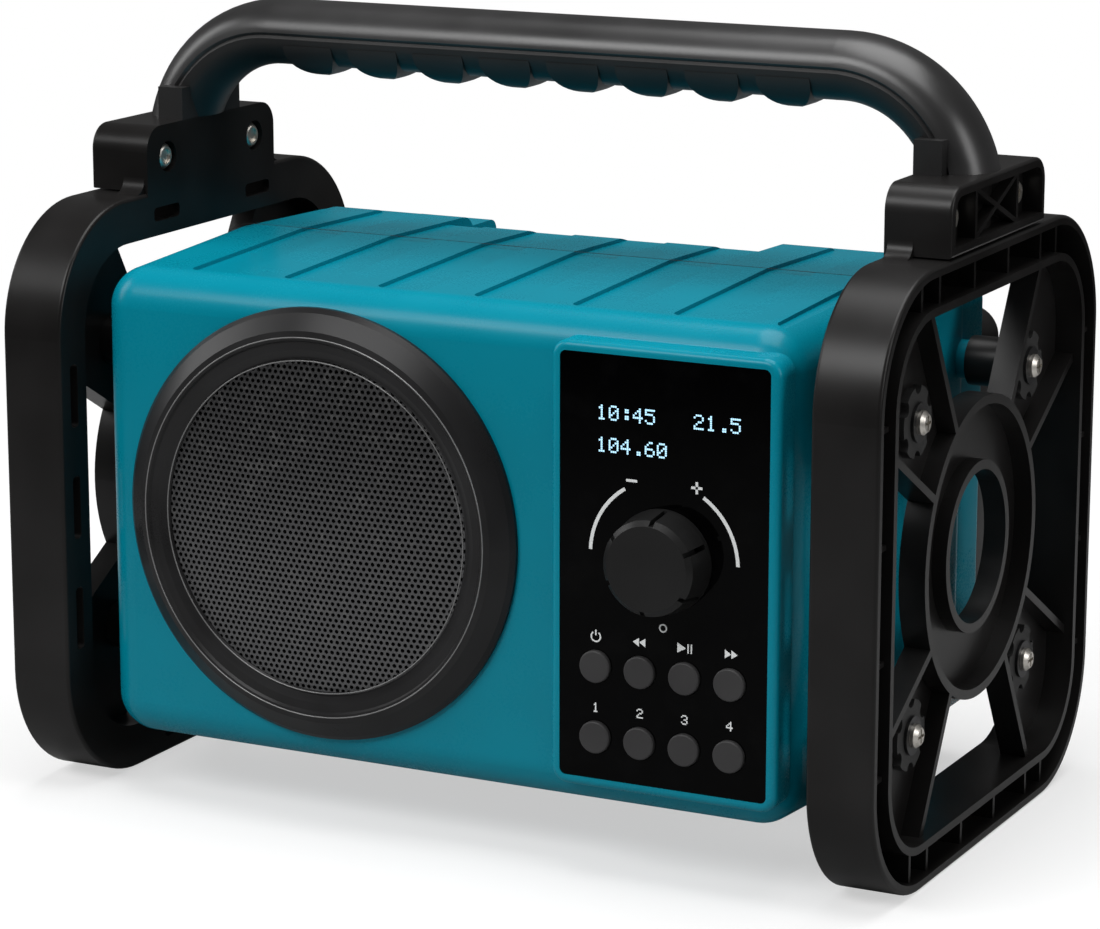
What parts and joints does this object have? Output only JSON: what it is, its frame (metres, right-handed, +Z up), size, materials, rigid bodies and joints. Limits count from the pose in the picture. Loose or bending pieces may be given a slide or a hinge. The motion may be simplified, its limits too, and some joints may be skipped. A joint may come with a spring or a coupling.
{
  "type": "jobsite radio",
  "caption": "Rugged portable radio: teal two-part body with round loudspeaker and control panel, held between two black side frames under a bolted carrying handle.",
  "frame": {"origin": "on the floor under the middle of the whole object's bounding box", "axes": "+X to the right seen from the front, front faces -Y, +Z up"},
  "size_m": [0.3, 0.1974, 0.2511],
  "materials": {
    "frame_black": "moulded black plastic, fine satin texture",
    "handle_black": "satin black plastic",
    "grip_black": "soft black grip",
    "teal_shell": "semi-gloss teal plastic",
    "panel_gloss": "high-gloss black",
    "bezel_black": "satin grey-black plastic",
    "knob_black": "satin black plastic",
    "button_grey": "satin grey plastic",
    "black_plastic": "plain black plastic",
    "black_rubber": "black rubber",
    "bright_steel": "nickel-plated steel",
    "black_steel": "black oxide steel",
    "grille_steel": "painted perforated steel",
    "circuit_board": "green circuit board",
    "display_glass": "dark display glass",
    "brass_pillar": "turned brass",
    "paper_cone": "pressed black paper",
    "ferrite": "grey ferrite",
    "cell_can": "plain wrapped metal can"
  },
  "bodies": {
    "radio": {"frame_right": "frame_black", "frame_left": "frame_black", "clamp_right": "frame_black", "clamp_left": "frame_black", "clamp_bolts": "bright_steel", "clamp_nuts": "bright_steel", "handle_upper": "handle_black", "handle_lower": "grip_black", "frame_screws": "bright_steel", "frame_washers": "black_steel", "frame_grommets": "black_rubber", "front_shell": "teal_shell", "rear_shell": "teal_shell", "shell_gasket": "black_rubber", "shell_screws": "black_steel", "panel_window": "panel_gloss", "keypad_mat": "black_rubber", "board_spacer": "black_plastic", "control_board": "circuit_board", "tact_switches": "black_plastic", "display_module": "display_glass", "encoder_body": "bright_steel", "board_standoffs": "brass_pillar", "main_board": "circuit_board", "board_parts": "bright_steel", "speaker_bezel": "bezel_black", "speaker_grille": "grille_steel", "speaker_gasket": "black_rubber", "speaker_basket": "black_steel", "speaker_surround": "black_rubber", "speaker_cone": "paper_cone", "speaker_dust_cap": "paper_cone", "speaker_magnet": "ferrite", "speaker_screws": "black_steel", "back_cover": "frame_black", "cover_screws": "bright_steel", "battery_box": "black_plastic", "battery_cells": "cell_can", "contact_plates": "bright_steel", "contact_springs": "bright_steel", "door_pin": "bright_steel", "port_block": "black_plastic", "antenna_pin": "bright_steel"},
    "knob": {"control_knob": "knob_black", "encoder_shaft": "bright_steel"},
    "battery_door": {"battery_door": "frame_black"},
    "door_screw": {"door_screw": "bright_steel"},
    "port_flap": {"port_flap": "black_rubber"},
    "antenna": {"antenna_knuckle": "bright_steel", "antenna_whip": "black_rubber"},
    "button_1": {"button_1": "button_grey"},
    "button_2": {"button_2": "button_grey"},
    "button_3": {"button_3": "button_grey"},
    "button_4": {"button_4": "button_grey"},
    "button_5": {"button_5": "button_grey"},
    "button_6": {"button_6": "button_grey"},
    "button_7": {"button_7": "button_grey"},
    "button_8": {"button_8": "button_grey"}
  },
  "joints": [
    {"name": "knob_turn", "type": "hinge", "parent": "radio", "child": "knob", "pos_m": [0.082, -0.0987, 0.1035], "axis": [0, -1, 0], "continuous": true},
    {"name": "door_swing", "type": "hinge", "parent": "radio", "child": "battery_door", "pos_m": [0, 0.0951, 0.0412], "axis": [-1, 0, 0], "range_deg": [0, 110]},
    {"name": "door_screw_turn", "type": "hinge", "parent": "battery_door", "child": "door_screw", "pos_m": [0, 0.0937, 0.11215], "axis": [0, 1, 0], "range_deg": [0, 90]},
    {"name": "flap_swing", "type": "hinge", "parent": "radio", "child": "port_flap", "pos_m": [-0.1102, 0.0943, 0.129], "axis": [0, 0, 1], "range_deg": [0, 120]},
    {"name": "antenna_raise", "type": "hinge", "parent": "radio", "child": "antenna", "pos_m": [0.098, 0.0852, 0.1605], "axis": [0, 1, 0], "range_deg": [0, 90]},
    {"name": "button_1_press", "type": "slide", "parent": "radio", "child": "button_1", "axis": [0, 1, 0], "range_m": [0, 0.0012], "stiffness_N_per_m": 600},
    {"name": "button_2_press", "type": "slide", "parent": "radio", "child": "button_2", "axis": [0, 1, 0], "range_m": [0, 0.0012], "stiffness_N_per_m": 600},
    {"name": "button_3_press", "type": "slide", "parent": "radio", "child": "button_3", "axis": [0, 1, 0], "range_m": [0, 0.0012], "stiffness_N_per_m": 600},
    {"name": "button_4_press", "type": "slide", "parent": "radio", "child": "button_4", "axis": [0, 1, 0], "range_m": [0, 0.0012], "stiffness_N_per_m": 600},
    {"name": "button_5_press", "type": "slide", "parent": "radio", "child": "button_5", "axis": [0, 1, 0], "range_m": [0, 0.0012], "stiffness_N_per_m": 600},
    {"name": "button_6_press", "type": "slide", "parent": "radio", "child": "button_6", "axis": [0, 1, 0], "range_m": [0, 0.0012], "stiffness_N_per_m": 600},
    {"name": "button_7_press", "type": "slide", "parent": "radio", "child": "button_7", "axis": [0, 1, 0], "range_m": [0, 0.0012], "stiffness_N_per_m": 600},
    {"name": "button_8_press", "type": "slide", "parent": "radio", "child": "button_8", "axis": [0, 1, 0], "range_m": [0, 0.0012], "stiffness_N_per_m": 600}
  ]
}
